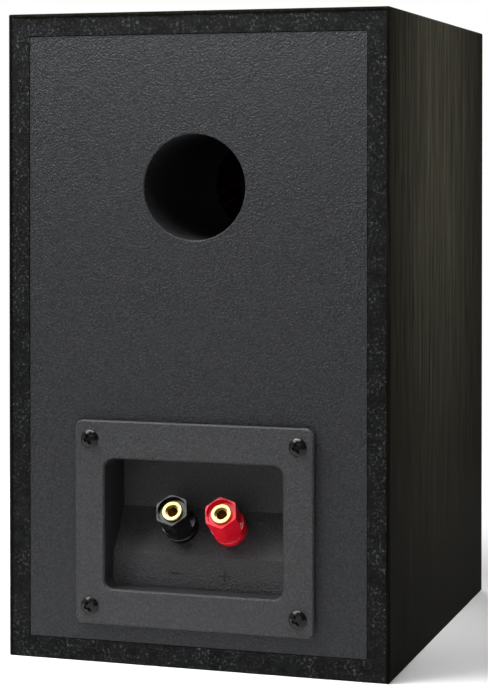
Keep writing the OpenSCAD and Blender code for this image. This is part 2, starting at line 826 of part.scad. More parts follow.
module woofer_cone() {
    steps = 8;
    color("#1c1c1e") on_baffle(woofer_z) rotate_extrude($fn = 96) polygon(concat(
        [[roll_r - roll_out, flange_s]],
        [for (i = [0 : steps]) let (t = i / steps) [cone_r + (coil_r - cone_r) * t, cone_s(t)]],
        [for (i = [steps : -1 : 0]) let (t = i / steps) [cone_r + (coil_r - cone_r) * t, cone_s(t) + cone_t]],
        [[roll_r - roll_out, flange_s + cone_t]]
    ));
}

module woofer_dust_cap() {
    edge_r_cap = 15;
    rise = 4.2;
    shell_r = (edge_r_cap * edge_r_cap + rise * rise) / (2 * rise);
    top = 13.8;
    color("#202022") on_baffle(woofer_z) intersection() {
        difference() {
            translate([0, 0, top + shell_r]) sphere(r = shell_r, $fn = 96);
            translate([0, 0, top + shell_r]) sphere(r = shell_r - 0.5, $fn = 96);
        }
        translate([0, 0, top - 1]) cylinder(h = 7, r = edge_r_cap);
    }
}

module woofer_spider() {
    waves = 5;
    steps = 8;
    low = 16;
    high = 29;
    mid = shelf_s - 0.3;
    wave = [
        for (i = [0 : waves * steps])
            [low + (high - low) * i / (waves * steps), mid + 0.9 * sin(360 * i / steps)]
    ];
    line = concat([[coil_r, mid]], wave, [[35, mid]]);
    color("#c9a24f") on_baffle(woofer_z) rotate_extrude() polygon(concat(
        [for (q = line) [q[0], q[1] - 0.25]],
        [for (i = [len(line) - 1 : -1 : 0]) [line[i][0], line[i][1] + 0.25]]
    ));
}

module woofer_voice_coil() {
    color("#b87333") on_baffle(woofer_z) union() {
        ring(coil_r, coil_r - 0.2, 18.4, 46);
        ring(coil_r + 0.5, coil_r - 0.1, 35.5, 45.5);
    }
}

module woofer_top_plate() {
    color("#8d8f92") on_baffle(woofer_z) ring(30, coil_r + 0.9, basket_s, basket_s + plate_s);
}

module woofer_magnet() {
    color("#3a3a3c") on_baffle(woofer_z)
        ring(35, 17.5, basket_s + plate_s, basket_s + plate_s + magnet_s);
}

module woofer_yoke() {
    back = basket_s + plate_s + magnet_s;
    color("#8d8f92") on_baffle(woofer_z) rotate_extrude() polygon([
        [0, basket_s], [pole_r - 0.5, basket_s], [pole_r, basket_s + 0.5], [pole_r, back],
        [29, back], [30, back + 1], [30, back + 5], [0, back + 5]
    ]);
}

module woofer_terminals() {
    color("#c9bf9a") on_baffle(woofer_z) {
        translate([-8, 36.6, shelf_s - 1]) cube([16, 2, 2.4]);
        for (x = [-3.5, 3.5]) translate([x - 1.4, 35.4, shelf_s + 1.4]) cube([2.8, 0.8, 7]);
    }
}

module woofer_screws() {
    color("#101010") on_baffle(woofer_z) for (a = [45 : 90 : 315])
        rotate(a) translate([woofer_screw_r, 0, screw_seat]) rotate([180, 0, 0])
            pan_screw(driver_head_r, driver_shank_r, woofer_screw_l);
}

// ---------- tweeter ----------

module tweeter_faceplate() {
    steps = 6;
    throat = 16.4;
    mouth = 34;
    color("#1b1b1d") on_baffle(tweeter_z) difference() {
        rotate_extrude($fn = 96) polygon(concat(
            [for (i = [0 : steps]) let (u = i / steps)
                [throat + (mouth - throat) * u, ring_front_s + 4.2 * pow(1 - u, 1.7)]],
            [[tweeter_r - 0.6, ring_front_s], [tweeter_r, ring_front_s + 0.6], [tweeter_r, tweeter_rebate],
             [29, tweeter_rebate], [29, motor_s], [18.2, motor_s], [18.2, 5.5], [throat, 5.5]]
        ));
        for (a = [45 : 90 : 315])
            rotate(a) translate([tweeter_screw_r, 0, 0]) {
                cylinder(h = baffle_t, r = screw_hole_r);
                translate([0, 0, -1]) cylinder(h = screw_seat + 1, r = counterbore_r);
            }
    }
}

module tweeter_surround() {
    steps = 6;
    mid = 14.6;
    outer = 1.6;
    inner = 1.25;
    color("#161616") on_baffle(tweeter_z) rotate_extrude() polygon(concat(
        [for (i = [0 : steps]) let (a = 180 - 180 * i / steps)
            [mid + outer * cos(a), dome_seat - outer * sin(a)]],
        [[16.4, 5.6], [18, 5.6], [18, motor_s], [16.2, motor_s], [mid + inner, dome_seat + 0.3]],
        [for (i = [1 : steps - 1]) let (a = 180 * i / steps)
            [mid + inner * cos(a), dome_seat + 0.2 - inner * sin(a)]],
        [[mid - inner, dome_seat + 0.3], [mid - outer, dome_seat + 0.3]]
    ));
}

module tweeter_dome() {
    shell_r = (dome_r * dome_r + dome_h * dome_h) / (2 * dome_h);
    top = dome_seat - dome_h;
    color("#1a1a1a") on_baffle(tweeter_z) intersection() {
        difference() {
            translate([0, 0, top + shell_r]) sphere(r = shell_r, $fn = 96);
            translate([0, 0, top + shell_r]) sphere(r = shell_r - 0.35, $fn = 96);
        }
        translate([0, 0, top - 1]) cylinder(h = dome_h + 1, r = dome_r);
    }
}

module tweeter_voice_coil() {
    color("#b87333") on_baffle(tweeter_z) union() {
        ring(12.7, 12.5, dome_seat, 11);
        ring(13.05, 12.6, 7.4, 10.4);
    }
}

module tweeter_top_plate() {
    color("#8d8f92") on_baffle(tweeter_z) ring(28, 13.45, motor_s, motor_s + 3);
}

module tweeter_magnet() {
    color("#3a3a3c") on_baffle(tweeter_z) ring(30, 17, motor_s + 3, motor_s + 12);
}

module tweeter_yoke() {
    back = motor_s + 12;
    color("#8d8f92") on_baffle(tweeter_z) rotate_extrude() polygon([
        [0, motor_s + 0.4], [11.7, motor_s + 0.4], [12.1, motor_s + 0.8], [12.1, back],
        [26, back], [27, back + 1], [27, back + 4], [0, back + 4]
    ]);
}

module tweeter_screws() {
    color("#101010") on_baffle(tweeter_z) for (a = [45 : 90 : 315])
        rotate(a) translate([tweeter_screw_r, 0, screw_seat]) rotate([180, 0, 0])
            pan_screw(driver_head_r, driver_shank_r, tweeter_screw_l);
}

left_panel();
right_panel();
top_panel();
bottom_panel();
vinyl_wrap();
front_baffle();
rear_panel();
front_battens();
rear_battens();
port_tube();
damping_pad();
grille_sockets();
wire_clips();
terminal_cup();
terminal_cup_gasket();
terminal_cup_screws();
black_post_base();
red_post_base();
black_post_stud();
red_post_stud();
black_clamp_washer();
red_clamp_washer();
black_cap();
red_cap();
black_cap_insert();
red_cap_insert();
post_nuts();
post_solder_tabs();
crossover_board();
crossover_standoffs();
woofer_inductor_bobbin();
woofer_inductor_winding();
tweeter_inductor();
woofer_capacitor();
tweeter_capacitor();
padding_resistor();
terminal_wires();
woofer_wires();
tweeter_wires();
woofer_basket();
woofer_gasket();
woofer_trim_ring();
woofer_surround();
woofer_cone();
woofer_dust_cap();
woofer_spider();
woofer_voice_coil();
woofer_top_plate();
woofer_magnet();
woofer_yoke();
woofer_terminals();
woofer_screws();
tweeter_faceplate();
tweeter_surround();
tweeter_dome();
tweeter_voice_coil();
tweeter_top_plate();
tweeter_magnet();
tweeter_yoke();
tweeter_screws();
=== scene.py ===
"""Looks for the bookshelf speaker: materials on its CAD nodes, the soft pieces, light and camera."""

import json
import math

import bpy
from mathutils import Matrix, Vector, noise
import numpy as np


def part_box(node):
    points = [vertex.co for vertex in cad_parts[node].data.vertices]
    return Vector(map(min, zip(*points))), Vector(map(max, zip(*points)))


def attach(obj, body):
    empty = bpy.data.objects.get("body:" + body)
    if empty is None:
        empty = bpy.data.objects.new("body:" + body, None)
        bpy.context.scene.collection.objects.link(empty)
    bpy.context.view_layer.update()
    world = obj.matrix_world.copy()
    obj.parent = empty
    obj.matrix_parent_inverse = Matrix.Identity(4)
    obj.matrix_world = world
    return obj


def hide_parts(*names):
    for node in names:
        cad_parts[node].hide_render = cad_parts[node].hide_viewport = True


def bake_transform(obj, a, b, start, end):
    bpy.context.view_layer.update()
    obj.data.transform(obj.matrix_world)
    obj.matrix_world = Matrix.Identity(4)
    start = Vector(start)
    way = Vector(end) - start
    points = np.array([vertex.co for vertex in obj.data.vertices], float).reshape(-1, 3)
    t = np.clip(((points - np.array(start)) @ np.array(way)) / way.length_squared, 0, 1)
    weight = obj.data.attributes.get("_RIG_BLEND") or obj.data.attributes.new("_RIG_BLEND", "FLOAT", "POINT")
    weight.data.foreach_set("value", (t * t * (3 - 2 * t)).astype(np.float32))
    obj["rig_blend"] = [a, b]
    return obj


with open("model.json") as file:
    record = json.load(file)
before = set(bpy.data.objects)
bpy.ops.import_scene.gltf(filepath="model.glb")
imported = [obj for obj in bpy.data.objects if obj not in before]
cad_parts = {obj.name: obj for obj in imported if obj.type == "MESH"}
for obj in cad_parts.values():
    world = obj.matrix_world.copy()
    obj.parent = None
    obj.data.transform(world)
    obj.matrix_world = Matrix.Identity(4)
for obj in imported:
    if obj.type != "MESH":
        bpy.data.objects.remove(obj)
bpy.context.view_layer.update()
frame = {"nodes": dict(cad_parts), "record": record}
MM = 0.001

# ---------------------------------------------------------------- camera

CAMERA_PLACE = Vector((-0.24656, 0.80311, 0.18667))
CAMERA_YAW = 0.3066
CAMERA_PITCH = 0.0156
LENS_MM = 107.07
SENSOR_MM = 36
FRAME_SHIFT = -0.2258


def make_camera():
    """A long lens behind the speaker, a little to its right, level with the port."""
    data = bpy.data.cameras.new("camera")
    data.sensor_width = SENSOR_MM
    data.lens = LENS_MM
    data.shift_y = FRAME_SHIFT
    camera = bpy.data.objects.new("camera", data)
    bpy.context.scene.collection.objects.link(camera)
    camera.location = CAMERA_PLACE
    level = math.cos(CAMERA_PITCH)
    look = Vector((math.sin(CAMERA_YAW) * level, -math.cos(CAMERA_YAW) * level, -math.sin(CAMERA_PITCH)))
    camera.rotation_euler = look.to_track_quat("-Z", "Y").to_euler()
    bpy.context.scene.camera = camera


# ---------------------------------------------------------------- node helpers


class Shade:
    """A material under construction: its node tree, its Principled shader and short ways to add nodes."""

    def __init__(self, name):
        self.material = bpy.data.materials.new(name)
        self.material.use_nodes = True
        self.tree = self.material.node_tree
        self.shader = self.tree.nodes["Principled BSDF"]
        self.place = self.tree.nodes.new("ShaderNodeTexCoord").outputs["Object"]

    def node(self, kind, **settings):
        """Adds a node; each setting is one of its properties or one of its inputs."""
        made = self.tree.nodes.new(kind)
        for key, value in settings.items():
            if hasattr(made, key):
                setattr(made, key, value)
            else:
                made.inputs[key].default_value = value
        return made

    def link(self, source, target):
        self.tree.links.new(source, target)

    def feed(self, socket, value):
        """Gives an input its value, which is a constant or the output of another node."""
        if hasattr(value, "links"):
            self.link(value, socket)
        else:
            socket.default_value = value

    def stretched(self, scale):
        """The place on the object, scaled along each axis by its own number of features per metre."""
        made = self.node("ShaderNodeMapping", Scale=scale)
        self.link(self.place, made.inputs["Vector"])
        return made.outputs["Vector"]

    def noise(self, scale, detail=4.0, roughness=0.55, distortion=0.0, place=None):
        """Fractal noise, with its scale in features per metre."""
        made = self.node("ShaderNodeTexNoise", Scale=scale, Detail=detail, Roughness=roughness,
                         Distortion=distortion)
        self.link(place or self.place, made.inputs["Vector"])
        return made.outputs["Fac"]

    def cells(self, scale, feature="DISTANCE_TO_EDGE"):
        """A cell pattern: the distance to the nearest cell edge, or to the nearest cell middle with F1."""
        made = self.node("ShaderNodeTexVoronoi", feature=feature, Scale=scale)
        self.link(self.place, made.inputs["Vector"])
        return made.outputs["Distance"]

    def ramp(self, value, stops):
        """A colour ramp; each stop is (position, colour), and a colour is a grey level or (r, g, b)."""
        made = self.node("ShaderNodeValToRGB")
        points = made.color_ramp.elements
        while len(points) < len(stops):
            points.new(0.5)
        for point, (position, colour) in zip(points, stops):
            point.position = position
            rgb = colour if hasattr(colour, "__len__") else (colour,) * 3
            point.color = (*rgb, 1)
        self.link(value, made.inputs["Fac"])
        return made.outputs["Color"]

    def blend(self, factor, first, second):
        """Mixes two colours: the first where the factor is 0, the second where it is 1."""
        made = self.node("ShaderNodeMix", data_type="RGBA")
        factor_in, first_in, second_in = made.inputs[0], made.inputs[6], made.inputs[7]
        self.feed(factor_in, factor)
        for socket, value in ((first_in, first), (second_in, second)):
            self.feed(socket, value if hasattr(value, "links") else (*value, 1))
        return made.outputs[2]

    def math(self, kind, first, second):
        made = self.node("ShaderNodeMath", operation=kind)
        self.feed(made.inputs[0], first)
        self.feed(made.inputs[1], second)
        return made.outputs[0]

    def colour(self, value):
        self.link(value, self.shader.inputs["Base Color"])

    def rough(self, field, low, high):
        """Roughness from a 0 to 1 field, spread between low and high."""
        made = self.node("ShaderNodeMapRange")
        made.inputs["To Min"].default_value = low
        made.inputs["To Max"].default_value = high
        self.link(field, made.inputs["Value"])
        self.link(made.outputs[0], self.shader.inputs["Roughness"])

    def bump(self, *layers):
        """Stacks bump layers of (height field, depth in metres, strength)."""
        normal = None
        for height, depth, strength in layers:
            made = self.node("ShaderNodeBump", Distance=depth, Strength=strength)
            self.link(height, made.inputs["Height"])
            if normal is not None:
                self.link(normal, made.inputs["Normal"])
            normal = made.outputs["Normal"]
        self.link(normal, self.shader.inputs["Normal"])

    def set(self, **values):
        """Sets plain inputs of the shader; an underscore stands for a space in an input's name."""
        for key, value in values.items():
            self.shader.inputs[key.replace("_", " ")].default_value = value


# ---------------------------------------------------------------- materials


def leather_board(name):
    """Charcoal vinyl with a fine leather grain, as on the rear panel."""
    s = Shade(name)
    pores = s.ramp(s.cells(900), [(0.0, 0.0), (0.45, 1.0)])
    fine = s.ramp(s.noise(1250, 3), [(0.32, 0.0), (0.68, 1.0)])
    faded = s.ramp(s.noise(22, 3), [(0.35, 0.0), (0.7, 0.25)])
    grain = s.blend(0.5, pores, fine)
    shade = s.ramp(grain, [(0.15, (0.0030, 0.0034, 0.0044)), (0.85, (0.0234, 0.0247, 0.0290))])
    s.colour(s.blend(faded, shade, (0.0120, 0.0127, 0.0150)))
    s.rough(grain, 0.5, 0.68)
    s.bump((grain, 0.00035, 0.75), (s.noise(90, 2), 0.0004, 0.12))
    s.set(Specular_IOR_Level=0.3)
    return s.material


def stained_board(name):
    """Fibreboard stained black: soft mottling, and a few lighter fibres showing through."""
    s = Shade(name)
    specks = s.noise(850, 6, 0.75)
    fibres = s.ramp(specks, [(0.53, 0.0), (0.7, 1.0)])
    clusters = s.ramp(s.noise(120, 4, 0.65), [(0.4, 0.15), (0.62, 1.0)])
    patches = s.noise(240, 5, 0.65)
    dark = s.ramp(patches, [(0.32, (0.0008, 0.0009, 0.0010)), (0.7, (0.0062, 0.0065, 0.0069))])
    s.colour(s.blend(s.math("MULTIPLY", fibres, clusters), dark, (0.110, 0.112, 0.115)))
    s.rough(specks, 0.75, 0.95)
    s.bump((specks, 0.0003, 0.7))
    s.set(Specular_IOR_Level=0.12)
    return s.material


def wood_vinyl(name):
    """Warm black vinyl embossed with a straight wood grain that runs upright on the sides."""
    s = Shade(name)
    streaks = s.noise(1, 6, 0.62, 0.4, place=s.stretched((420, 420, 12)))
    pores = s.noise(1, 3, 0.6, 0.2, place=s.stretched((1300, 1300, 40)))
    tone = s.ramp(streaks, [(0.3, (0.0032, 0.0030, 0.0020)), (0.55, (0.0066, 0.0062, 0.0043)),
                            (0.75, (0.0112, 0.0105, 0.0076))])
    s.colour(s.blend(s.ramp(pores, [(0.34, 0.9), (0.54, 0.0)]), tone, (0.0015, 0.0014, 0.0010)))
    s.rough(streaks, 0.42, 0.6)
    s.bump((pores, 0.00014, 0.6), (streaks, 0.0001, 0.3))
    s.set(Specular_IOR_Level=0.004)
    return s.material


def sand_plastic(name, low, high, size, depth=0.00014, shine=(0.45, 0.65)):
    """Moulded plastic with a sand-blasted texture of `size` grains per metre."""
    s = Shade(name)
    sand = s.noise(size, 3, 0.6)
    grains = s.ramp(sand, [(0.32, 0.0), (0.68, 1.0)])
    pits = s.ramp(s.cells(size * 0.9, "F1"), [(0.1, 1.0), (0.8, 0.45)])
    field = s.math("MULTIPLY", grains, pits)
    s.colour(s.ramp(field, [(0.05, low), (0.85, high)]))
    s.rough(sand, *shine)
    s.bump((field, depth, 0.8), (s.noise(60, 2), 0.0003, 0.1))
    return s.material


def gloss_plastic(name, deep, bright, shine=(0.1, 0.22)):
    """Polished moulded plastic with faint flow marks and fine handling scuffs."""
    s = Shade(name)
    flow = s.noise(120, 3, 0.5, 0.6)
    scuffs = s.noise(1, 5, 0.7, place=s.stretched((2400, 700, 2400)))
    s.colour(s.ramp(flow, [(0.3, deep), (0.7, bright)]))
    s.rough(scuffs, *shine)
    s.bump((scuffs, 0.00002, 0.25), (flow, 0.00008, 0.2))
    s.set(Specular_IOR_Level=0.35)
    return s.material


def turned_metal(name, low, high, shine=(0.16, 0.34)):
    """Turned and plated metal: fine tool lines and slight clouding."""
    s = Shade(name)
    lines = s.noise(1, 3, 0.6, place=s.stretched((650, 2600, 2600)))
    cloud = s.noise(260, 3)
    s.colour(s.ramp(cloud, [(0.3, low), (0.7, high)]))
    s.rough(lines, *shine)
    s.bump((lines, 0.00002, 0.3))
    s.set(Metallic=1.0)
    return s.material


def painted_metal(name, base, shine=(0.25, 0.42), gloss=0.3):
    """Black paint or plating with a faint orange-peel skin and rubbed high spots."""
    s = Shade(name)
    peel = s.noise(900, 2, 0.5)
    rub = s.noise(150, 5, 0.7)
    rubbed = tuple(level * 2.2 + 0.002 for level in base)
    s.colour(s.ramp(rub, [(0.35, base), (0.8, rubbed)]))
    s.rough(peel, *shine)
    s.bump((peel, 0.00003, 0.35))
    s.set(Specular_IOR_Level=gloss)
    return s.material


def rubber(name, base, shine):
    """Moulded rubber or foam skin: matte bloom over a slightly uneven surface."""
    s = Shade(name)
    bloom = s.noise(80, 4, 0.6)
    pores = s.noise(2200, 2)
    bloomed = tuple(level * 1.7 + 0.003 for level in base)
    s.colour(s.ramp(bloom, [(0.3, base), (0.75, bloomed)]))
    s.rough(bloom, *shine)
    s.bump((pores, 0.00005, 0.4))
    return s.material


def cloth(name, low, high, threads, depth):
    """A fine woven or felted sheet, drawn as two crossed sets of threads over uneven dye."""
    s = Shade(name)
    along = threads * 0.1
    weft = s.noise(1, 2, 0.5, place=s.stretched((threads, along, along)))
    warp = s.noise(1, 2, 0.5, place=s.stretched((along, along, threads)))
    weave = s.math("ADD", s.math("MULTIPLY", weft, 0.5), s.math("MULTIPLY", warp, 0.5))
    s.colour(s.ramp(weave, [(0.38, low), (0.62, high)]))
    s.rough(weave, 0.7, 0.9)
    s.bump((weave, depth, 0.7))
    s.set(Sheen_Weight=0.15, Sheen_Roughness=0.5)
    return s.material


def paper_cone(name):
    """Pressed black paper pulp: matted fibres under a satin coat."""
    s = Shade(name)
    fibres = s.noise(700, 6, 0.75, 1.2)
    press = s.noise(45, 3)
    s.colour(s.ramp(fibres, [(0.35, (0.020, 0.020, 0.022)), (0.7, (0.046, 0.046, 0.050))]))
    s.rough(press, 0.42, 0.6)
    s.bump((fibres, 0.00012, 0.6))
    return s.material


def wadding(name):
    """White polyester wadding: matted and loose, with painted shade that greys its hollows slightly."""
    s = Shade(name)
    tufts = s.noise(160, 6, 0.75, 1.5)
    fine = s.noise(1500, 4, 0.7, 2.0)
    # The tufts that raise the bump also darken the colour where they dip: painted shade in the hollows
    s.colour(s.ramp(tufts, [(0.3, (0.48, 0.47, 0.45)), (0.6, (0.82, 0.81, 0.78))]))
    s.bump((tufts, 0.0015, 0.6), (fine, 0.0003, 0.6))
    s.set(Roughness=0.95, Sheen_Weight=0.4, Sheen_Roughness=0.6)
    return s.material


def softwood(name):
    """Sawn pale softwood with growth lines and saw marks."""
    s = Shade(name)
    rings = s.noise(1, 4, 0.6, 0.8, place=s.stretched((260, 260, 22)))
    saw = s.noise(1, 2, 0.5, place=s.stretched((90, 90, 1400)))
    s.colour(s.ramp(rings, [(0.3, (0.30, 0.18, 0.08)), (0.55, (0.56, 0.38, 0.20)),
                            (0.8, (0.66, 0.48, 0.28))]))
    s.rough(saw, 0.65, 0.85)
    s.bump((saw, 0.0002, 0.5), (rings, 0.0001, 0.3))
    return s.material


def circuit_board(name):
    """Green solder mask with darker tracks under it."""
    s = Shade(name)
    tracks = s.cells(110, "F1")
    weave = s.noise(1600, 2)
    s.colour(s.ramp(tracks, [(0.28, (0.012, 0.10, 0.04)), (0.34, (0.03, 0.22, 0.09))]))
    s.rough(weave, 0.25, 0.4)
    s.bump((s.ramp(tracks, [(0.28, 0.0), (0.34, 1.0)]), 0.00004, 0.6), (weave, 0.00003, 0.3))
    return s.material


def wound_copper(name):
    """Enamelled copper wire in close turns."""
    s = Shade(name)
    turns = s.noise(1, 2, 0.4, place=s.stretched((120, 120, 2600)))
    s.colour(s.ramp(turns, [(0.35, (0.35, 0.12, 0.04)), (0.65, (0.78, 0.36, 0.15))]))
    s.rough(turns, 0.22, 0.4)
    s.bump((turns, 0.0001, 0.6))
    s.set(Metallic=0.85)
    return s.material


# One material for each slot of the record; colours are linear (r, g, b), and a pair goes dark to light
MATERIALS = {
    "wall_board": stained_board("stained_board"),
    "vinyl": wood_vinyl("wood_vinyl"),
    "baffle_board": sand_plastic("baffle_vinyl", (0.005, 0.005, 0.0055), (0.016, 0.016, 0.017), 1300),
    "rear_board": leather_board("leather_board"),
    "batten_wood": softwood("softwood"),
    "port_plastic": sand_plastic("port_plastic", (0.004, 0.004, 0.004), (0.012, 0.012, 0.012), 1100),
    "wadding": wadding("wadding"),
    "socket_rubber": rubber("socket_rubber", (0.014, 0.014, 0.014), (0.5, 0.7)),
    "clip_plastic": sand_plastic("clip_plastic", (0.5, 0.5, 0.46), (0.7, 0.7, 0.66), 900),
    "cup_plastic": sand_plastic("cup_plastic", (0.0008, 0.0010, 0.0016), (0.0240, 0.0253, 0.0293),
                                1350, 0.0003),
    "gasket_foam": rubber("gasket_foam", (0.008, 0.008, 0.008), (0.8, 0.95)),
    "screw_black": painted_metal("black_zinc", (0.001, 0.001, 0.0012), (0.12, 0.2), 0.2),
    "post_black": gloss_plastic("black_plastic", (0.002, 0.002, 0.0025), (0.004, 0.004, 0.0045)),
    "post_red": gloss_plastic("red_plastic", (0.60, 0.003, 0.014), (0.72, 0.008, 0.026)),
    "post_brass": turned_metal("plated_brass", (0.55, 0.44, 0.15), (0.66, 0.55, 0.21), (0.26, 0.44)),
    "zinc_steel": turned_metal("zinc_steel", (0.55, 0.56, 0.58), (0.7, 0.7, 0.72)),
    "tinned_brass": turned_metal("tinned_brass", (0.6, 0.56, 0.44), (0.75, 0.7, 0.58), (0.25, 0.45)),
    "board_green": circuit_board("circuit_board"),
    "nylon": sand_plastic("nylon", (0.6, 0.6, 0.56), (0.78, 0.78, 0.74), 800),
    "bobbin_plastic": sand_plastic("bobbin_plastic", (0.015, 0.015, 0.015), (0.03, 0.03, 0.03), 900),
    "copper_wire": wound_copper("copper_wire"),
    "capacitor_blue": gloss_plastic("blue_sleeve", (0.02, 0.06, 0.26), (0.04, 0.1, 0.4)),
    "capacitor_amber": gloss_plastic("amber_film", (0.45, 0.24, 0.03), (0.62, 0.38, 0.06)),
    "ceramic": sand_plastic("ceramic", (0.6, 0.57, 0.5), (0.8, 0.77, 0.7), 700),
    "wire_red": gloss_plastic("red_insulation", (0.3, 0.01, 0.012), (0.4, 0.02, 0.02), (0.3, 0.5)),
    "wire_black": gloss_plastic("black_insulation", (0.01, 0.01, 0.01), (0.02, 0.02, 0.02), (0.3, 0.5)),
    "basket_steel": painted_metal("basket_paint", (0.014, 0.014, 0.015)),
    "trim_plastic": sand_plastic("trim_plastic", (0.010, 0.010, 0.011), (0.022, 0.022, 0.024),
                                 1700, 0.00006, (0.24, 0.36)),
    "surround_rubber": rubber("surround_rubber", (0.004, 0.004, 0.004), (0.34, 0.5)),
    "cone_paper": paper_cone("paper_cone"),
    "spider_cloth": cloth("spider_cloth", (0.34, 0.2, 0.06), (0.62, 0.42, 0.16), 1400, 0.0001),
    "coil_copper": wound_copper("coil_copper"),
    "motor_steel": turned_metal("motor_steel", (0.42, 0.43, 0.45), (0.56, 0.57, 0.6), (0.3, 0.5)),
    "ferrite": sand_plastic("ferrite", (0.03, 0.03, 0.033), (0.07, 0.07, 0.075), 900),
    "dome_silk": cloth("dome_silk", (0.008, 0.008, 0.008), (0.024, 0.024, 0.025), 2200, 0.00006),
}
# A darker copy of the plated brass for the studs: painted shade for the bores deep in the caps
STUD_SHADE_BRASS = turned_metal("bore_shade_brass", (0.30, 0.19, 0.06), (0.48, 0.33, 0.12), (0.2, 0.4))


def dress_nodes():
    """Gives each CAD node its slot's material; the studs, deep inside the caps, get a darker brass that is
    painted shade for their bores.
    """
    for row in frame["record"]["subparts"]:
        data = frame["nodes"][row["node"]].data
        data.materials.clear()
        is_stud = row["node"].endswith("_post_stud")
        data.materials.append(STUD_SHADE_BRASS if is_stud else MATERIALS[row["material_slot"]])


# ---------------------------------------------------------------- drivers' soft pieces

# The plane of the front baffle's face, and the heights of the two drivers' axes
FRONT = -84.7 * MM
WOOFER_Z = 66 * MM
TWEETER_Z = 172 * MM

ROUND = 144
SHARP_ANGLE = math.radians(38)


def link_mesh(name, points, faces, material):
    """A smooth-shaded object from points in metres and faces."""
    data = bpy.data.meshes.new(name)
    data.from_pydata(points, [], faces)
    data.polygons.foreach_set("use_smooth", [True] * len(faces))
    data.materials.append(material)
    piece = bpy.data.objects.new(name, data)
    bpy.context.scene.collection.objects.link(piece)
    return piece


def lathe(name, profile, axis_z, material):
    """Turns a closed profile of (radius, depth behind the baffle's face) about a driver's axis."""
    count = len(profile)
    points = []
    for i in range(ROUND):
        turn = 2 * math.pi * i / ROUND
        for radius, depth in profile:
            points.append((radius * math.cos(turn), FRONT + depth, axis_z + radius * math.sin(turn)))
    faces = []
    for i in range(ROUND):
        here, after = i * count, (i + 1) % ROUND * count
        for k in range(count):
            m = (k + 1) % count
            faces.append((here + k, here + m, after + m, after + k))
    piece = link_mesh(name, points, faces, material)
    piece.data.set_sharp_from_angle(angle=SHARP_ANGLE)
    return piece


def flex_between(piece, body, axis_z, held_r, moving_r):
    """Makes a turned piece follow the cabinet at held_r and the moving body at moving_r."""
    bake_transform(piece, "cabinet", body, (held_r, FRONT, axis_z), (moving_r, FRONT, axis_z))
    weights = piece.data.attributes["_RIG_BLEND"].data
    for vertex in piece.data.vertices:
        radius = math.hypot(vertex.co.x, vertex.co.z - axis_z)
        share = min(1, max(0, (held_r - radius) / (held_r - moving_r)))
        weights[vertex.index].value = share * share * (3 - 2 * share)


def shell(line, thick):
    """A closed profile: the line, and the same line set back by thick, in reverse."""
    return line + [(radius, depth + thick) for radius, depth in reversed(line)]


def in_metres(*points):
    return [(radius * MM, depth * MM) for radius, depth in points]


def half_roll(middle_r, foot, half_width, height, steps):
    """A ridge that stands out to the front, in millimetres: its middle radius and the depth of its foot."""
    turns = [math.pi * (1 - i / steps) for i in range(steps + 1)]
    return in_metres(*((middle_r + half_width * math.cos(turn), foot - height * math.sin(turn))
                       for turn in turns))


def woofer_surround():
    """The rubber roll between the woofer's frame and the edge of its cone."""
    cone_lip = in_metres((36.5, 2.95), (38.0, 2.95))
    frame_lip = in_metres((43.9, 2.95), (46.4, 2.95))
    line = cone_lip + half_roll(40.9, 3.1, 2.5, 2.4, 22) + frame_lip
    piece = lathe("woofer_rubber_roll", shell(line, 0.42 * MM), WOOFER_Z,
                  MATERIALS["surround_rubber"])
    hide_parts("woofer_surround")
    flex_between(piece, "woofer_cone_assembly", WOOFER_Z, 44.4 * MM, 38.4 * MM)


def woofer_spider():
    """The corrugated cloth disc that centres the voice coil."""
    waves, steps = 5, 12
    inner_r, outer_r, middle, swing = 16, 29, 25.9, 0.9
    corrugations = []
    for i in range(waves * steps + 1):
        share = i / (waves * steps)
        fade = min(1, 8 * share, 8 * (1 - share))
        wave = swing * fade * math.sin(2 * math.pi * waves * share)
        corrugations.append((inner_r + (outer_r - inner_r) * share, middle + wave))
    collar = in_metres((13.05, middle), (14.4, middle))
    seat = in_metres((30.2, middle), (35.0, middle))
    line = collar + in_metres(*corrugations) + seat
    piece = lathe("woofer_cloth_spider", shell(line, 0.3 * MM), WOOFER_Z,
                  MATERIALS["spider_cloth"])
    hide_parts("woofer_spider")
    flex_between(piece, "woofer_cone_assembly", WOOFER_Z, 30 * MM, 15 * MM)


def tweeter_surround():
    """The coated silk roll around the tweeter's dome."""
    dome_lip = in_metres((13.0, 5.85))
    frame_lip = in_metres((16.6, 5.85), (17.9, 5.95))
    line = dome_lip + half_roll(14.6, 5.85, 1.5, 1.45, 14) + frame_lip
    piece = lathe("tweeter_silk_roll", shell(line, 0.28 * MM), TWEETER_Z,
                  MATERIALS["dome_silk"])
    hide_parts("tweeter_surround")
    flex_between(piece, "tweeter_dome_assembly", TWEETER_Z, 16.2 * MM, 13.2 * MM)


# ---------------------------------------------------------------- wadding

# Faces across and up the pad, and how square its rim is in the two directions
PAD_ACROSS, PAD_UP = 56, 84
RIM_POWER_ACROSS, RIM_POWER_UP = 9, 13
PAD_MARGIN = 1 * MM
PAD_DRAW_IN = 0.03
# Lumps, as (number per metre, height)
BROAD_LUMPS = (45, 1.6 * MM)
FINE_LUMPS = (160, 0.6 * MM)
DIMPLE_ROWS = 3
DIMPLE_DEPTH = 3.2 * MM
DIMPLE_SHARPNESS = 12
WELD_REACH = 0.02 * MM


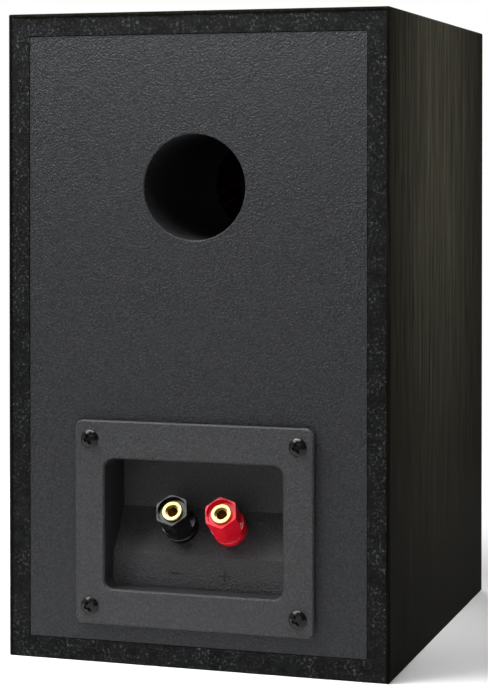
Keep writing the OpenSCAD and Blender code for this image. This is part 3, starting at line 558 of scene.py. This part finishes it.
def pad_point(u, v, side, size, middle):
    """One point of the pad: u and v run from -1 to 1 over it, and side is 1 on the face or -1 behind."""
    rim = math.sqrt(max(0, (1 - abs(u) ** RIM_POWER_ACROSS) * (1 - abs(v) ** RIM_POWER_UP)))
    place = Vector((u * size.y / 2, v * size.z / 2, side))
    lumps = sum(noise.noise(place * scale) * height for scale, height in (BROAD_LUMPS, FINE_LUMPS))
    beat = math.pi * DIMPLE_ROWS / 2
    rows = math.cos(beat * v) ** 2 * math.cos(beat * u) ** 2
    dimple = DIMPLE_DEPTH * rows ** DIMPLE_SHARPNESS
    if side > 0:
        x = middle.x + rim * (size.x / 2 - PAD_MARGIN + lumps - dimple)
    else:
        x = middle.x - rim * size.x / 2
    pull = 1 - PAD_DRAW_IN * (1 - rim)
    return x, middle.y + place.x * pull, middle.z + place.y * pull


def damping_pad():
    """A crowned slab of wadding on the side wall: soft edges, a lumpy face and three rows of dimples."""
    low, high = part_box("damping_pad")
    size, middle = high - low, (low + high) / 2
    row = PAD_ACROSS + 1
    grid = [pad_point(2 * i / PAD_ACROSS - 1, 2 * j / PAD_UP - 1, side, size, middle)
            for side in (1, -1) for j in range(PAD_UP + 1) for i in range(row)]
    faces = []
    for base, flip in ((0, False), (row * (PAD_UP + 1), True)):
        for j in range(PAD_UP):
            for i in range(PAD_ACROSS):
                a = base + j * row + i
                quad = (a, a + 1, a + row + 1, a + row)
                faces.append(tuple(reversed(quad)) if flip else quad)
    piece = link_mesh("damping_wadding", grid, faces, MATERIALS["wadding"])
    weld = piece.modifiers.new("weld", "WELD")
    weld.merge_threshold = WELD_REACH
    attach(piece, "cabinet")
    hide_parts("damping_pad")


# ---------------------------------------------------------------- stage

FLOOR_REACH = 1.6
FLOOR_SOLID_TO = 0.13
FLOOR_GONE_AT = 0.6
GLOW_DIM = 0.06
GLOW_BRIGHT = 0.75


def make_floor():
    """A pale floor that thins out into the backdrop away from the speaker."""
    data = bpy.data.meshes.new("floor")
    corners = [(x * FLOOR_REACH, y * FLOOR_REACH, 0) for x, y in ((-1, -1), (1, -1), (1, 1), (-1, 1))]
    data.from_pydata(corners, [], [(0, 1, 2, 3)])
    floor = bpy.data.objects.new("floor", data)
    bpy.context.scene.collection.objects.link(floor)
    s = Shade("pale_floor")
    s.colour(s.ramp(s.noise(3, 3), [(0.3, 0.92), (0.7, 0.95)]))
    s.set(Roughness=0.9)
    distance = s.node("ShaderNodeVectorMath", operation="LENGTH")
    s.link(s.place, distance.inputs[0])
    fade = s.node("ShaderNodeMapRange", interpolation_type="SMOOTHSTEP")
    for key, value in (("From Min", FLOOR_SOLID_TO), ("From Max", FLOOR_GONE_AT),
                       ("To Min", 1.0), ("To Max", 0.0)):
        fade.inputs[key].default_value = value
    s.link(distance.outputs["Value"], fade.inputs["Value"])
    s.link(fade.outputs[0], s.shader.inputs["Alpha"])
    data.materials.append(s.material)


def make_light(name, place, aim, size, watts, spread=180):
    """A rectangular light at a place, turned to face the point that it aims at."""
    data = bpy.data.lights.new(name, "AREA")
    data.shape = "RECTANGLE"
    data.size, data.size_y = size
    data.energy = watts
    data.spread = math.radians(spread)
    light = bpy.data.objects.new(name, data)
    bpy.context.scene.collection.objects.link(light)
    light.location = place
    light.rotation_euler = (Vector(aim) - Vector(place)).to_track_quat("-Z", "Y").to_euler()


def make_world():
    """A white backdrop, and softer light that comes more from the speaker's +X side than from the other."""
    world = bpy.data.worlds.new("studio")
    bpy.context.scene.world = world
    world.use_nodes = True
    tree = world.node_tree
    glow = tree.nodes["Background"]
    glow.inputs["Color"].default_value = (1, 1, 1, 1)
    place = tree.nodes.new("ShaderNodeTexCoord").outputs["Generated"]
    split = tree.nodes.new("ShaderNodeSeparateXYZ")
    spread = tree.nodes.new("ShaderNodeMapRange")
    for key, value in (("From Min", -1), ("From Max", 1), ("To Min", GLOW_DIM), ("To Max", GLOW_BRIGHT)):
        spread.inputs[key].default_value = value
    backdrop = tree.nodes.new("ShaderNodeBackground")
    backdrop.inputs["Color"].default_value = (1, 1, 1, 1)
    rays = tree.nodes.new("ShaderNodeLightPath")
    mix = tree.nodes.new("ShaderNodeMixShader")
    link = tree.links.new
    link(place, split.inputs[0])
    link(split.outputs["X"], spread.inputs["Value"])
    link(spread.outputs[0], glow.inputs["Strength"])
    link(rays.outputs["Is Camera Ray"], mix.inputs[0])
    link(glow.outputs[0], mix.inputs[1])
    link(backdrop.outputs[0], mix.inputs[2])
    link(mix.outputs[0], tree.nodes["World Output"].inputs["Surface"])


def make_lights():
    """A high soft key, a grazing light over the top edge and one over the side, a fill, and a front light."""
    make_light("key", (0.74, 0.47, 1.15), (0, 0.08, 0.1), (0.75, 0.75), 18)
    make_light("top", (0.06, 0.165, 0.40), (0.02, 0.085, 0.2), (0.3, 0.1), 1.4)
    make_light("side", (-0.24, 0.03, 0.34), (-0.07, 0.0, 0.25), (0.1, 0.3), 0.95, spread=50)
    make_light("fill", (-0.15, 1.0, 0.4), (0, 0.08, 0.06), (0.5, 0.5), 0.9)
    make_light("front", (0.5, -1.1, 0.8), (0, -0.08, 0.12), (0.5, 0.5), 7)
    bpy.context.scene.view_settings.view_transform = "Standard"


make_camera()
dress_nodes()
woofer_surround()
woofer_spider()
tweeter_surround()
damping_pad()
make_floor()
make_world()
make_lights()
